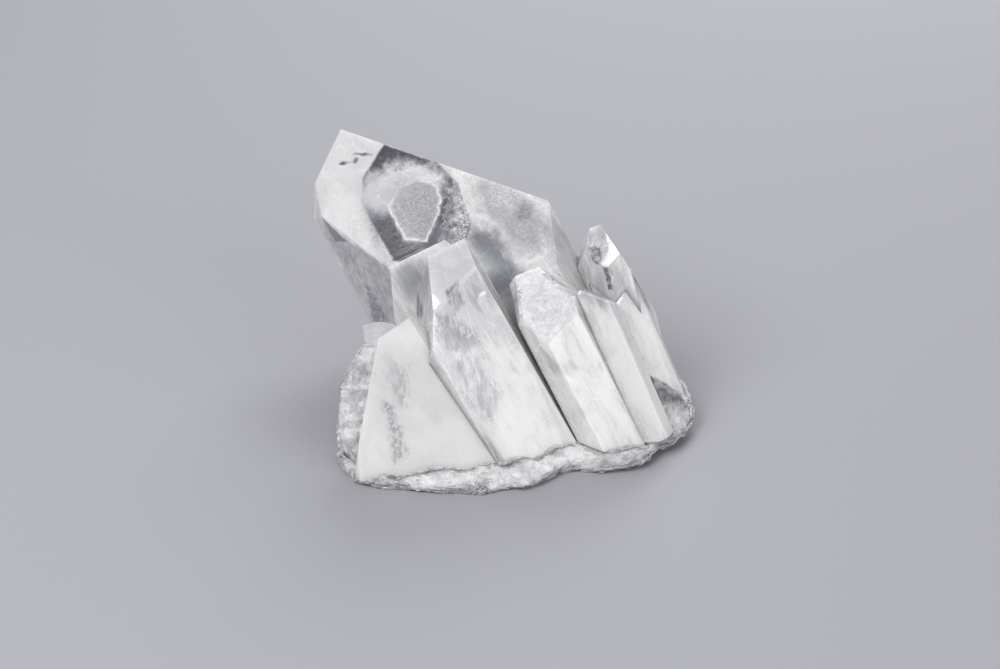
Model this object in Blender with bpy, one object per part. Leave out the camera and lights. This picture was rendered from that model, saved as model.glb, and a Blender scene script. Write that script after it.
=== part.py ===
"""A quartz crystal cluster: ten crystals leaning out of one rough crust of quartz.

Every crystal is cleaved out of a block with flat cuts, as its real faces lie: six prism faces round its
long axis, and slanting faces that close its end. Where two crystals grow through each other, the one
behind is cut away round the one in front. The crust, or matrix, is a rough lump with a flat resting face,
hollowed round the crystals' feet. Sizes are in millimetres and degrees, and become metres in `metres`.
X runs to the cluster's right, Y to its back and Z up.
"""

import math
from dataclasses import dataclass

import bmesh
import bpy
from mathutils import Vector, noise

MILLIMETRE = 0.001
JOINT_GAP = 0.3  # left between a crystal and whatever it grows out of
BLOCK = 160.0  # side of the block that each crystal is cleaved from
PRISM_SIDES = 6
RHOMB = 51.8  # how far a rhombohedral end face's normal leans from the long axis in every quartz
SAME_DIRECTION = 0.9999  # the cosine above which two normals count as one face's
PLANE_TOLERANCE = 1e-8  # in metres
FRACTURE_GRID = 0.7  # spacing of the points that a broken face is shaped by
FRACTURE_HOLLOW = 0.45  # the shares of a broken face's depth: an even hollow, its ripples, and its grain
FRACTURE_RIPPLE = 0.35
FRACTURE_GRAIN = 0.2
QUARTZ_COLOUR = (0.78, 0.79, 0.80, 1.0)
QUARTZ_DULLNESS = 0.2  # the roughness of smooth growth faces
MATRIX_COLOUR = (0.74, 0.74, 0.73, 1.0)
MATRIX_DULLNESS = 0.75  # the roughness of a sugary crust


@dataclass(frozen=True)
class EndFace:
    """A slanting face: its bearing from the first prism face, its normal's lean, its height on the axis."""

    bearing: float
    lean: float
    height: float


@dataclass(frozen=True)
class Fracture:
    """A broken end face: which end face it is, how deep it is hollowed, and its ripples' spacing."""

    end: int
    depth: float
    ripple: float


@dataclass(frozen=True)
class Crystal:
    """One crystal, by its axis, its six prism faces' distances from the axis, and its end faces.

    `turn` is the bearing of the first prism face, from the front towards the right. `base` is the height at
    which it stops inside the matrix, different for each, so that no two feet share a plane. `root` is how
    far it reaches below its `foot`, along the axis. `behind` names the crystals that it is cut away round.
    """

    name: str
    lean_left: float
    lean_back: float
    turn: float
    foot: tuple[float, float, float]
    flats: tuple[float, ...]
    ends: tuple[EndFace, ...]
    base: float
    behind: tuple[str, ...] = ()
    root: float = 0.0
    fracture: Fracture | None = None


CRYSTALS = (
    Crystal(
        "left_crystal",
        lean_left=33.5,
        lean_back=15.5,
        turn=17.5,
        foot=(-12.0, -12.0, 1.5),
        flats=(4.0, 11.0, 9.5, 6.0, 10.5, 12.0),
        ends=(
            EndFace(0, 75, 40.0),
            EndFace(-60, 62, 27.5),
            EndFace(180, RHOMB, 18.5),
            EndFace(-120, 50, 16.5),
        ),
        base=1.4,
        root=16.0,
    ),
    Crystal(
        "front_crystal",
        lean_left=29.0,
        lean_back=11.5,
        turn=33.0,
        foot=(5.0, -5.5, 1.0),
        flats=(6.0, 8.0, 6.0, 6.5, 9.0, 10.0),
        ends=(EndFace(-12, 50, 39.5), EndFace(161, 47, 37.5), EndFace(-102, 58, 36.5)),
        behind=("left_crystal",),
        base=1.8,
        root=8.0,
    ),
    Crystal(
        "shoulder_crystal",
        lean_left=25.0,
        lean_back=19.0,
        turn=33.0,
        foot=(31.0, 5.0, 1.0),
        flats=(4.5, 3.5, 2.5, 3.5, 4.0, 5.0),
        ends=(EndFace(-40, RHOMB, 29.5), EndFace(60, 49, 31.0), EndFace(160, 60, 27.0)),
        base=4.6,
    ),
    Crystal(
        "broken_crystal",
        lean_left=27.5,
        lean_back=15.5,
        turn=24.5,
        foot=(20.0, -2.5, 1.0),
        flats=(7.5, 6.0, 5.5, 6.5, 4.0, 7.5),
        ends=(
            EndFace(-10, 58, 35.0),
            EndFace(160, 38, 32.5),
            EndFace(-80, 57, 37.5),
            EndFace(70, 63, 37.0),
        ),
        behind=("front_crystal",),
        base=2.8,
        root=5.0,
        fracture=Fracture(end=0, depth=0.9, ripple=2.6),
    ),
    Crystal(
        "right_front_crystal",
        lean_left=25.0,
        lean_back=20.0,
        turn=11.5,
        foot=(24.0, -4.0, 7.0),
        flats=(3.0, 4.0, 3.5, 4.0, 2.0, 2.5),
        ends=(EndFace(0, 60, 28.5), EndFace(90, 45, 23.0), EndFace(-110, 55, 23.5)),
        behind=("shoulder_crystal", "broken_crystal"),
        base=3.4,
        root=6.0,
    ),
    Crystal(
        "right_crystal",
        lean_left=14.0,
        lean_back=13.0,
        turn=11.5,
        foot=(25.5, 8.5, 1.0),
        flats=(6.0, 5.5, 5.5, 3.5, 6.0, 4.0),
        ends=(
            EndFace(-30, 54, 35.5),
            EndFace(-95, 61, 36.5),
            EndFace(90, 72, 35.0),
            EndFace(170, 46, 33.0),
        ),
        behind=("shoulder_crystal", "broken_crystal", "right_front_crystal"),
        base=4.2,
    ),
    Crystal(
        "side_crystal",
        lean_left=27.5,
        lean_back=20.5,
        turn=10.0,
        foot=(-3.0, 4.0, 8.5),
        flats=(5.5, 7.0, 8.5, 5.0, 9.5, 7.0),
        ends=(EndFace(0, 80, 55.0), EndFace(180, RHOMB, 19.0)),
        behind=("front_crystal", "left_crystal"),
        base=3.6,
    ),
    Crystal(
        "left_broken_crystal",
        lean_left=-3.0,
        lean_back=17.5,
        turn=7.0,
        foot=(-23.5, -8.0, -3.0),
        flats=(5.5, 4.5, 4.5, 5.0, 2.5, 7.5),
        ends=(
            EndFace(0, 49, 22.5),
            EndFace(-90, 54, 24.5),
            EndFace(90, 35, 23.5),
            EndFace(180, 50, 23.0),
            EndFace(-60, 115, -6.7),
        ),
        behind=("left_crystal",),
        base=0.9,
        fracture=Fracture(end=0, depth=0.5, ripple=3.0),
    ),
    Crystal(
        "knob_crystal",
        lean_left=54.5,
        lean_back=13.0,
        turn=24.5,
        foot=(-18.5, 6.0, 15.5),
        flats=(2.5, 1.5, 2.0, 2.0, 3.5, 3.5),
        ends=(EndFace(0, 60, 6.5), EndFace(120, 55, 4.5), EndFace(-120, 55, 7.5)),
        behind=("left_crystal", "left_broken_crystal", "side_crystal"),
        base=10.0,
    ),
    Crystal(
        "main_crystal",
        lean_left=29.5,
        lean_back=17.5,
        turn=15.5,
        foot=(2.0, 17.0, 6.0),
        flats=(16.0, 20.5, 12.0, 16.5, 20.5, 13.0),
        ends=(
            EndFace(0, 51, 33.0),
            EndFace(120, 67, 51.0),
            EndFace(-120, 48, 64.0),
            EndFace(-60, 55, 57.0),
        ),
        behind=(
            "left_crystal",
            "front_crystal",
            "shoulder_crystal",
            "broken_crystal",
            "right_front_crystal",
            "right_crystal",
            "side_crystal",
            "left_broken_crystal",
            "knob_crystal",
        ),
        base=2.6,
        root=18.0,
    ),
)

# The matrix: how far its rim lies from its middle, every 30 degrees round from +X towards +Y.
MATRIX_MIDDLE = (3.0, 2.0)
MATRIX_REACH = (32.0, 31.0, 35.0, 37.5, 34.0, 29.0, 32.0, 33.5, 26.0, 20.5, 18.0, 26.5)
MATRIX_HEIGHT = 14.0
MATRIX_SLOPE = 10.8  # how much lower its front and its front left shoulder are
FRONT_START = 0.0  # measured from the middle towards the front
FRONT_END = 8.0
SHOULDER_TOWARDS = (-0.55, -0.83)
SHOULDER_START = 4.0  # measured from the middle towards the front left
SHOULDER_END = 17.0
MATRIX_FALL = 7.0  # how much lower its right end is
FALL_START = 16.0
RIM_THICKNESS = 3.0
RIM_UNDERCUT = 1.6
RIM_LAYERS = 1.6  # how much faster the rim changes with height than along its length
MATRIX_ROUGHNESS = 1.3
MATRIX_LUMPS = 7.0  # width of its larger lumps
UNDERSIDE_START = 8.0  # the underside leaves the ground this far to the right of the middle
UNDERSIDE_RISE = 0.09
RIM_STEEPNESS = 0.55  # below 1, the upper side stays broad and its rim falls off steeply
RIM_ROUNDING = 0.75
LUMP_FADE = 0.8  # how each finer layer of lumps shrinks, how much finer it is, and how many there are
LUMP_FINER = 2.1
LUMP_LAYERS = 4
MATRIX_DETAIL = 5


def metres(*values: float) -> Vector:
    """A point in metres from millimetres."""
    return Vector(values) * MILLIMETRE


def clear_scene() -> None:
    """Removes whatever the scene holds."""
    for item in list(bpy.data.objects):
        bpy.data.objects.remove(item)


def axis_of(crystal: Crystal) -> Vector:
    """The crystal's long axis, pointing out of its tip."""
    left = math.tan(math.radians(crystal.lean_left))
    back = math.tan(math.radians(crystal.lean_back))
    return Vector((-left, back, 1.0)).normalized()


def face_normal(crystal: Crystal, bearing: float, lean: float) -> Vector:
    """The outward normal of a face, by its bearing from the front and its lean from the axis."""
    axis = axis_of(crystal)
    front = Vector((0.0, -1.0, 0.0))
    front = (front - axis * front.dot(axis)).normalized()
    side = axis.cross(front)
    turn, tilt = math.radians(bearing), math.radians(lean)
    return math.sin(tilt) * (math.cos(turn) * front + math.sin(turn) * side) + math.cos(tilt) * axis


def faces_of(crystal: Crystal, grow: float) -> list[tuple[Vector, Vector]]:
    """Every face of the crystal as a point and an outward normal, moved outwards by `grow`."""
    foot, axis = metres(*crystal.foot), axis_of(crystal)
    found = []
    for side, flat in enumerate(crystal.flats):
        normal = face_normal(crystal, crystal.turn + 360 / PRISM_SIDES * side, 90)
        found.append((foot + normal * (flat + grow) * MILLIMETRE, normal))
    for end in crystal.ends:
        normal = face_normal(crystal, crystal.turn + end.bearing, end.lean)
        found.append((foot + axis * end.height * MILLIMETRE + normal * grow * MILLIMETRE, normal))
    found.append((foot - axis * (crystal.root + grow) * MILLIMETRE, -axis))
    found.append((metres(0, 0, crystal.base - grow), Vector((0, 0, -1))))
    return found


def cleave(shape: bmesh.types.BMesh, point: Vector, normal: Vector) -> None:
    """Cuts away what lies beyond a plane, and closes the shape with a flat face there."""
    everything = shape.verts[:] + shape.edges[:] + shape.faces[:]
    cut = bmesh.ops.bisect_plane(
        shape, geom=everything, dist=PLANE_TOLERANCE, plane_co=point, plane_no=normal, clear_outer=True
    )
    rim = [item for item in cut["geom_cut"] if isinstance(item, bmesh.types.BMEdge)]
    if rim:
        bmesh.ops.contextual_create(shape, geom=rim)


def cleaved_block(crystal: Crystal, grow: float = 0.0) -> bmesh.types.BMesh:
    """The crystal's convex shape, grown outwards by `grow` for use as a cutter."""
    shape = bmesh.new()
    bmesh.ops.create_cube(shape, size=BLOCK * MILLIMETRE)
    bmesh.ops.translate(shape, vec=metres(*crystal.foot), verts=shape.verts)
    for point, normal in faces_of(crystal, grow):
        cleave(shape, point, normal)
    bmesh.ops.recalc_face_normals(shape, faces=shape.faces)
    return shape


def score(shape: bmesh.types.BMesh, normal: Vector, step: float) -> None:
    """Divides the face that looks along `normal` into a grid of small faces."""
    across = normal.orthogonal().normalized()
    for direction in (across, normal.cross(across)):
        chosen = [face for face in shape.faces if face.normal.dot(normal) > SAME_DIRECTION]
        reach = [vert.co.dot(direction) for face in chosen for vert in face.verts]
        lines = int((max(reach) - min(reach)) / (step * MILLIMETRE))
        for line in range(1, lines + 1):
            place = min(reach) + (max(reach) - min(reach)) * line / (lines + 1)
            chosen = [face for face in shape.faces if face.normal.dot(normal) > SAME_DIRECTION]
            edges = {edge for face in chosen for edge in face.edges}
            verts = {vert for face in chosen for vert in face.verts}
            bmesh.ops.bisect_plane(
                shape,
                geom=list(verts) + list(edges) + chosen,
                dist=PLANE_TOLERANCE,
                plane_co=direction * place,
                plane_no=direction,
            )


def hollow_fracture(shape: bmesh.types.BMesh, crystal: Crystal) -> None:
    """Sinks a broken end face into shell-like ripples round one blow, keeping its rim."""
    broken = crystal.fracture
    end = crystal.ends[broken.end]
    normal = face_normal(crystal, crystal.turn + end.bearing, end.lean)
    score(shape, normal, FRACTURE_GRID)
    inner = [
        vert
        for vert in shape.verts
        if vert.link_faces and all(face.normal.dot(normal) > SAME_DIRECTION for face in vert.link_faces)
    ]
    middle = sum((vert.co for vert in inner), Vector()) / len(inner)
    widest = max((vert.co - middle).length for vert in inner)
    for vert in inner:
        away = (vert.co - middle).length
        fade = max(0.0, 1.0 - (away / widest) ** 2)
        ripple = 0.5 + 0.5 * math.cos(2 * math.pi * away / (broken.ripple * MILLIMETRE))
        grain = noise.noise(vert.co / MILLIMETRE)
        sink = broken.depth * fade * (FRACTURE_HOLLOW + FRACTURE_RIPPLE * ripple + FRACTURE_GRAIN * grain)
        vert.co -= normal * sink * MILLIMETRE


def finish_material(
    name: str, colour: tuple[float, float, float, float], roughness: float
) -> bpy.types.Material:
    """A Principled material of its own for one piece."""
    material = bpy.data.materials.new(name)
    material.use_nodes = True
    shader = material.node_tree.nodes["Principled BSDF"]
    shader.inputs["Base Color"].default_value = colour
    shader.inputs["Roughness"].default_value = roughness
    shader.inputs["Metallic"].default_value = 0.0
    material.diffuse_color = colour
    return material


def add_piece(name: str, shape: bmesh.types.BMesh) -> bpy.types.Object:
    """Puts a shape into the scene as an object."""
    mesh = bpy.data.meshes.new(name)
    shape.to_mesh(mesh)
    shape.free()
    piece = bpy.data.objects.new(name, mesh)
    bpy.context.collection.objects.link(piece)
    return piece


def add_cutter(crystal: Crystal) -> bpy.types.Object:
    """The crystal's shape with the joint gap all round it, to cut its neighbours with."""
    cutter = add_piece(crystal.name + "_clearance", cleaved_block(crystal, JOINT_GAP))
    cutter.hide_render = True
    cutter.display_type = "WIRE"
    return cutter


def cut_away(piece: bpy.types.Object, cutter: bpy.types.Object) -> None:
    """Cuts one neighbour's clearance out of a piece."""
    cut = piece.modifiers.new(cutter.name, "BOOLEAN")
    cut.operation = "DIFFERENCE"
    cut.solver = "EXACT"
    cut.object = cutter


def add_crystal(crystal: Crystal, cutters: dict[str, bpy.types.Object]) -> bpy.types.Object:
    """One crystal, cut away round the crystals in front of it."""
    shape = cleaved_block(crystal)
    if crystal.fracture:
        hollow_fracture(shape, crystal)
    piece = add_piece(crystal.name, shape)
    piece.data.materials.append(finish_material(crystal.name, QUARTZ_COLOUR, QUARTZ_DULLNESS))
    for name in crystal.behind:
        cut_away(piece, cutters[name])
    return piece


def matrix_reach(bearing: float) -> float:
    """The rim's distance from the matrix's middle at a bearing in radians."""
    place = (bearing / (2 * math.pi)) % 1.0 * len(MATRIX_REACH)
    first = int(place) % len(MATRIX_REACH)
    second = (first + 1) % len(MATRIX_REACH)
    ease = (1 - math.cos(math.pi * (place - int(place)))) / 2
    return MATRIX_REACH[first] * (1 - ease) + MATRIX_REACH[second] * ease


def underside(x: float) -> float:
    """The height of the matrix's underside: on the ground, then rising towards its right end."""
    return max(0.0, UNDERSIDE_RISE * (x - UNDERSIDE_START))


def matrix_top(x: float, y: float) -> float:
    """The height of the matrix's upper side before it is roughened: high at the back, low at the front."""
    front = (-y - FRONT_START) / (FRONT_END - FRONT_START)
    towards = SHOULDER_TOWARDS[0] * x + SHOULDER_TOWARDS[1] * y
    shoulder = (towards - SHOULDER_START) / (SHOULDER_END - SHOULDER_START)
    slope = max(0.0, min(1.0, max(front, shoulder)))
    fall = max(0.0, x - FALL_START) / (MATRIX_REACH[0] - FALL_START)
    thinnest = underside(x) + RIM_THICKNESS
    return max(thinnest, MATRIX_HEIGHT - MATRIX_SLOPE * slope - MATRIX_FALL * fall)


def lumps(place: Vector) -> float:
    """The crust's lumpiness at a place in millimetres, about zero."""
    return noise.fractal(place / MATRIX_LUMPS, LUMP_FADE, LUMP_FINER, LUMP_LAYERS)


def matrix_point(unit: Vector) -> Vector:
    """Where a point of a unit sphere goes: onto a lump with a steep, stepped rim and a level base."""
    bearing = math.atan2(unit.y, unit.x)
    across = matrix_reach(bearing)
    spread = math.hypot(unit.x, unit.y) ** RIM_STEEPNESS
    x, y = (across * spread * turn for turn in (math.cos(bearing), math.sin(bearing)))
    level = 0.5 + 0.5 * math.copysign(abs(unit.z) ** RIM_ROUNDING, unit.z)
    z = max(underside(x), level * (matrix_top(x, y) + RIM_UNDERCUT) - RIM_UNDERCUT)
    rim = Vector((across * math.cos(bearing), across * math.sin(bearing), RIM_LAYERS * z))
    ragged = 1 + MATRIX_ROUGHNESS / across * lumps(rim)
    bumps = lumps(Vector((x, y, 0)))
    return Vector((x * ragged, y * ragged, z + MATRIX_ROUGHNESS * bumps * max(0.0, unit.z)))


def add_matrix(cutters: dict[str, bpy.types.Object]) -> bpy.types.Object:
    """The rough crust that the crystals stand in, with a flat resting face."""
    shape = bmesh.new()
    bmesh.ops.create_icosphere(shape, subdivisions=MATRIX_DETAIL, radius=1.0)
    middle = Vector((*MATRIX_MIDDLE, 0.0))
    for vert in shape.verts:
        vert.co = (matrix_point(vert.co.normalized()) + middle) * MILLIMETRE
    bmesh.ops.recalc_face_normals(shape, faces=shape.faces)
    piece = add_piece("quartz_matrix", shape)
    piece.data.materials.append(finish_material("quartz_matrix", MATRIX_COLOUR, MATRIX_DULLNESS))
    for cutter in cutters.values():
        cut_away(piece, cutter)
    return piece


def centre_on_base(pieces: list[bpy.types.Object], cutters: list[bpy.types.Object]) -> None:
    """Moves everything so that the middle of the cluster's base is the origin."""
    bpy.context.view_layer.update()
    graph = bpy.context.evaluated_depsgraph_get()
    corners = []
    for piece in pieces:
        shape = piece.evaluated_get(graph).to_mesh()
        corners += [vert.co.copy() for vert in shape.vertices]
        piece.evaluated_get(graph).to_mesh_clear()
    low = Vector(min(corner[axis] for corner in corners) for axis in range(3))
    high = Vector(max(corner[axis] for corner in corners) for axis in range(3))
    shift = Vector(((low.x + high.x) / 2, (low.y + high.y) / 2, low.z))
    for item in pieces + cutters:
        item.location = -shift


def build() -> None:
    """Builds the cluster."""
    clear_scene()
    cutters = {crystal.name: add_cutter(crystal) for crystal in CRYSTALS}
    pieces = [add_crystal(crystal, cutters) for crystal in CRYSTALS]
    pieces.append(add_matrix(cutters))
    centre_on_base(pieces, list(cutters.values()))


build()
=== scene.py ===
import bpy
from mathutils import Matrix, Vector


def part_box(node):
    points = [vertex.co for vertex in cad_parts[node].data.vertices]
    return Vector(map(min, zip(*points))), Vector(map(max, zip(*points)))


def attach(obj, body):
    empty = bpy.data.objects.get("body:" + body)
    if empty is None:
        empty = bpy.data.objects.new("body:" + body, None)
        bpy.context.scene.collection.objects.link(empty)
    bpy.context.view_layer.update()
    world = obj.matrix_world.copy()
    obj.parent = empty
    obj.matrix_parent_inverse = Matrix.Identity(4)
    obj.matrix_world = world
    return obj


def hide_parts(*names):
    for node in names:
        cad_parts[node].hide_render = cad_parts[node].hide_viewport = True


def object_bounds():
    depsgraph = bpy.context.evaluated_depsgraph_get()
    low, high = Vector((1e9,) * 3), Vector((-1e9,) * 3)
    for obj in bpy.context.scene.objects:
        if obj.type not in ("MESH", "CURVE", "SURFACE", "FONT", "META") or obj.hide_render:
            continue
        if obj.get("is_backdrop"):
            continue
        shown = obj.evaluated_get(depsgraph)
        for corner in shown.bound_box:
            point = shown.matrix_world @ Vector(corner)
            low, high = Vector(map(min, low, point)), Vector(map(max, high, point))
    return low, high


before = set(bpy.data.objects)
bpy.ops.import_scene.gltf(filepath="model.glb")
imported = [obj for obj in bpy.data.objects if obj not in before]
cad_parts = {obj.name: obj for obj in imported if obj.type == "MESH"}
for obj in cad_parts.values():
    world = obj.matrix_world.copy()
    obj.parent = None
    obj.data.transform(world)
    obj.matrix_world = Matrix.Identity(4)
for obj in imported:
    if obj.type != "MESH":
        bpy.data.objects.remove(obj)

"""Dresses a quartz crystal cluster: clear and milky crystals on a sugary white crust.

Each crystal is its CAD solid with its sharp edges worn round, finished in quartz that is clear in places
and clouded in others. What is seen inside the crystals (windows, veils, a phantom) is laid out in
millimetres on the flat faces, measured from each face's highest corner. The crust and the crushed lump
are roughened into grains.
"""

import logging
import math
from collections.abc import Callable
from dataclasses import dataclass
from enum import Enum

import bpy
from mathutils import Euler, Matrix, Vector

log = logging.getLogger("quartz_cluster")

MILLIMETRE = 0.001
BODY = "root"

# How a CAD node's faces and edges are told apart.
LARGE_FACE = 4 * MILLIMETRE**2  # smaller ones aren't a crystal's own faces
SAME_DIRECTION = 0.9995  # the cosine above which two normals are one face's
SAME_PLANE = 0.05 * MILLIMETRE  # how far apart two parts of one face may lie
LONG_EDGE = 3 * MILLIMETRE
PARALLEL = 0.9998  # the cosine above which two edges run the same way

# How meshes are cleaned and worn.
MERGE_WITHIN = 0.01 * MILLIMETRE
FLAT_WITHIN = math.radians(1)
SHARP_ABOVE = math.radians(20)

# Quartz itself.
QUARTZ_IOR = 1.544
SCATTER_SHARE = 0.8  # how much of the light spreads inside the stone
GROWN_SCATTER = 3.0  # how far it spreads in a whole crystal, in millimetres
BROKEN_SCATTER = 2.0  # and in crushed quartz, which has more faces to stop it
FACE_DEPTH = (0.3, 0.5)  # a face's marks end between these distances off it, in millimetres
OUTLINE_BENDS = 0.45  # per millimetre: a mark's ragged outline wanders about every 2 mm

# Healed cracks. Scales are per millimetre: cracks are about 4.5 mm apart and 14 mm long.
CRACK_CELLS = (0.22, 0.22, 0.07)
CRACK_BENDS = 0.2  # they bend about every 5 mm
CRACK_SWAY = 3.0  # how far they bend, in millimetres
CRACK_LINE = (0.001, 0.008)  # the share of a cell that a line is, drawn wide enough to show
CRACK_PATCHES = 0.3  # they come and go in patches about 3 mm wide

# Growth relief. Scales are per millimetre: fine lines about 0.6 mm apart, much longer across the crystal.
GROWTH_LINES = (0.12, 0.12, 1.6)
GROWTH_PITS = 1.6  # finer in the stone, and drawn 0.6 mm wide so that they show
LINE_SHARE = 0.6  # how high the lines stand beside the pits

# Broken quartz.
LARGER_FACETS = 2.6  # times as wide as the small ones
CHALKY_PATCHES = 0.18  # per millimetre: whiter and greyer patches about 5 mm wide
BREAK_MIDDLE = 0.9  # a break's middle faces the way that the break looks, within this cosine
BREAK_RIM = 0.87  # and its rim within this one
# Ripples are painted lighter on their crests and greyer in their troughs, as painted light and shade, by the
# same share as their height.
RIPPLE_SHARE = 0.7  # how high and how bright ripples are beside the facets
SPECK = "#6E6E72"  # dust caught in the crust's pits
SPECKS_REACH = (1.5, 3.5)  # specks thin out between these distances, in millimetres

Tree = bpy.types.NodeTree
Socket = bpy.types.NodeSocket
Material = bpy.types.Material
Piece = bpy.types.Object
Point = tuple[float, float]
Direction = tuple[float, float, float]


class Kind(Enum):
    """The kinds of shader node that the finishes are made with."""

    PLACE = "ShaderNodeTexCoord"
    MAPPING = "ShaderNodeMapping"
    SPLIT = "ShaderNodeSeparateXYZ"
    MATH = "ShaderNodeMath"
    VECTOR_MATH = "ShaderNodeVectorMath"
    RANGE = "ShaderNodeMapRange"  # inputs 1 and 2 are the ends that it reads, 3 and 4 those that it gives
    MIX = "ShaderNodeMix"
    NOISE = "ShaderNodeTexNoise"
    CELLS = "ShaderNodeTexVoronoi"
    RAMP = "ShaderNodeValToRGB"
    BUMP = "ShaderNodeBump"


def linear(hex_colour: str) -> tuple[float, float, float, float]:
    """Turns an sRGB colour into the linear one that shaders take.

    Args:
        hex_colour: The colour as "#RRGGBB".

    Returns:
        Linear red, green and blue, and an alpha of 1.
    """
    parts = [int(hex_colour[i : i + 2], 16) / 255 for i in (1, 3, 5)]
    red, green, blue = (p / 12.92 if p <= 0.04045 else ((p + 0.055) / 1.055) ** 2.4 for p in parts)
    return red, green, blue, 1.0


def add_node(
    tree: Tree,
    kind: Kind,
    settings: dict[str | int, object] | None = None,
    links: dict[str | int, Socket] | None = None,
    out: str | int = 0,
) -> Socket:
    """Adds one shader node.

    Args:
        tree: The node tree that it goes in.
        kind: The kind of node.
        settings: Properties of the node by name, and values of its inputs by name or number.
        links: The sockets that feed its inputs, by the input's name or number.
        out: Which of its outputs is handed back.

    Returns:
        The output socket.
    """
    node = tree.nodes.new(kind.value)
    for key, value in (settings or {}).items():
        if isinstance(key, str) and key not in node.inputs:
            setattr(node, key, value)
        else:
            node.inputs[key].default_value = value
    for key, socket in (links or {}).items():
        tree.links.new(socket, node.inputs[key])
    return node.outputs[out]


def measured(tree: Tree, origin: Vector | None = None, turned: Euler | None = None) -> Socket:
    """Adds nodes for each point's place on the piece.

    Args:
        tree: The node tree.
        origin: Where it is measured from, if not the cluster's own origin.
        turned: How the frame that it is measured in is turned, if it is.

    Returns:
        The place in millimetres.
    """
    settings = {"vector_type": "TEXTURE", "Scale": (MILLIMETRE,) * 3}
    if origin is not None and turned is not None:
        settings |= {"Location": origin, "Rotation": turned}
    place = add_node(tree, Kind.PLACE, out="Object")
    return add_node(tree, Kind.MAPPING, settings, {"Vector": place})


def only(piece: Piece) -> None:
    """Makes one piece the selected and active one.

    Args:
        piece: The piece.
    """
    bpy.ops.object.select_all(action="DESELECT")
    piece.select_set(True)
    bpy.context.view_layer.objects.active = piece


def in_edit_mode(piece: Piece, *steps: Callable[[], object]) -> None:
    """Runs modelling operators on the whole of a piece.

    Args:
        piece: The piece to work on.
        steps: The operators to run, each ready to call.
    """
    only(piece)
    bpy.ops.object.mode_set(mode="EDIT")
    for step in steps:
        bpy.ops.mesh.select_all(action="SELECT")
        step()
    bpy.ops.object.mode_set(mode="OBJECT")


def apply_modifier(piece: Piece, kind: str, **settings: object) -> None:
    """Adds a modifier to a piece and applies it.

    Args:
        piece: The piece to change.
        kind: The modifier's Blender type.
        settings: The modifier's properties.
    """
    only(piece)
    modifier = piece.modifiers.new(kind.lower(), kind)
    for key, value in settings.items():
        setattr(modifier, key, value)
    bpy.ops.object.modifier_apply(modifier=modifier.name)


@dataclass(frozen=True)
class Facet:
    """A flat face of a crystal, as a frame: u to its right, v up its slope, w out of it.

    Attributes:
        origin: Its highest corner.
        across: The direction of u.
        upward: The direction of v.
        outward: Its normal.
    """

    origin: Vector
    across: Vector
    upward: Vector
    outward: Vector

    @classmethod
    def of(cls, node: str, direction: Direction) -> "Facet":
        """Finds the face of a CAD node that looks most nearly one way.

        Args:
            node: The CAD node.
            direction: The way that the face looks.

        Returns:
            The face's frame.
        """
        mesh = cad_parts[node].data
        way = Vector(direction).normalized()
        large = [p for p in mesh.polygons if p.area > LARGE_FACE]
        chosen = max(large, key=lambda p: p.normal.dot(way))
        outward = chosen.normal.copy()
        corners = [
            mesh.vertices[i].co.copy()
            for p in mesh.polygons
            if p.normal.dot(outward) > SAME_DIRECTION
            and abs((p.center - chosen.center).dot(outward)) < SAME_PLANE
            for i in p.vertices
        ]
        origin = max(corners, key=lambda c: c.z)
        upward = (Vector((0, 0, 1)) - outward * outward.z).normalized()
        return cls(origin, upward.cross(outward), upward, outward)

    def coordinates(self, tree: Tree) -> Socket:
        """Adds nodes for each point's place in this frame, in millimetres."""
        turned = Matrix((self.across, self.upward, self.outward)).transposed().to_euler()
        return measured(tree, self.origin, turned)


def long_axis(node: str) -> Vector:
    """Finds the direction that most of a crystal's edge length runs in, which is its prism's long axis.

    Args:
        node: The CAD node.

    Returns:
        The long axis, pointing up.
    """
    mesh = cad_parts[node].data
    runs = []
    for edge in mesh.edges:
        run = mesh.vertices[edge.vertices[1]].co - mesh.vertices[edge.vertices[0]].co
        if run.length > LONG_EDGE:
            runs.append(run if run.z > 0 else -run)

    def length_along(way: Vector) -> float:
        """The total length of the edges that run one way."""
        return sum(run.length for run in runs if way.normalized().dot(run.normalized()) > PARALLEL)

    return max(runs, key=length_along).normalized()


def tip_of(node: str) -> Vector:
    """The highest corner of a CAD node."""
    return max((v.co.copy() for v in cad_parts[node].data.vertices), key=lambda c: c.z)


def front_of(node: str, share: float) -> Vector:
    """Finds the front-most corner of a CAD node near one share of its width.

    Args:
        node: The CAD node.
        share: The share of its width, from its left.

    Returns:
        The corner's place.
    """
    low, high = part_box(node)
    x = low[0] + (high[0] - low[0]) * share
    near = [v.co.copy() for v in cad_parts[node].data.vertices if abs(v.co.x - x) < MILLIMETRE]
    return min(near, key=lambda c: c.y)


class Shape(Enum):
    """How a mark on a face is bounded."""

    POLYGON = "straight sides between corners"
    OVAL = "an oval"


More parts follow.
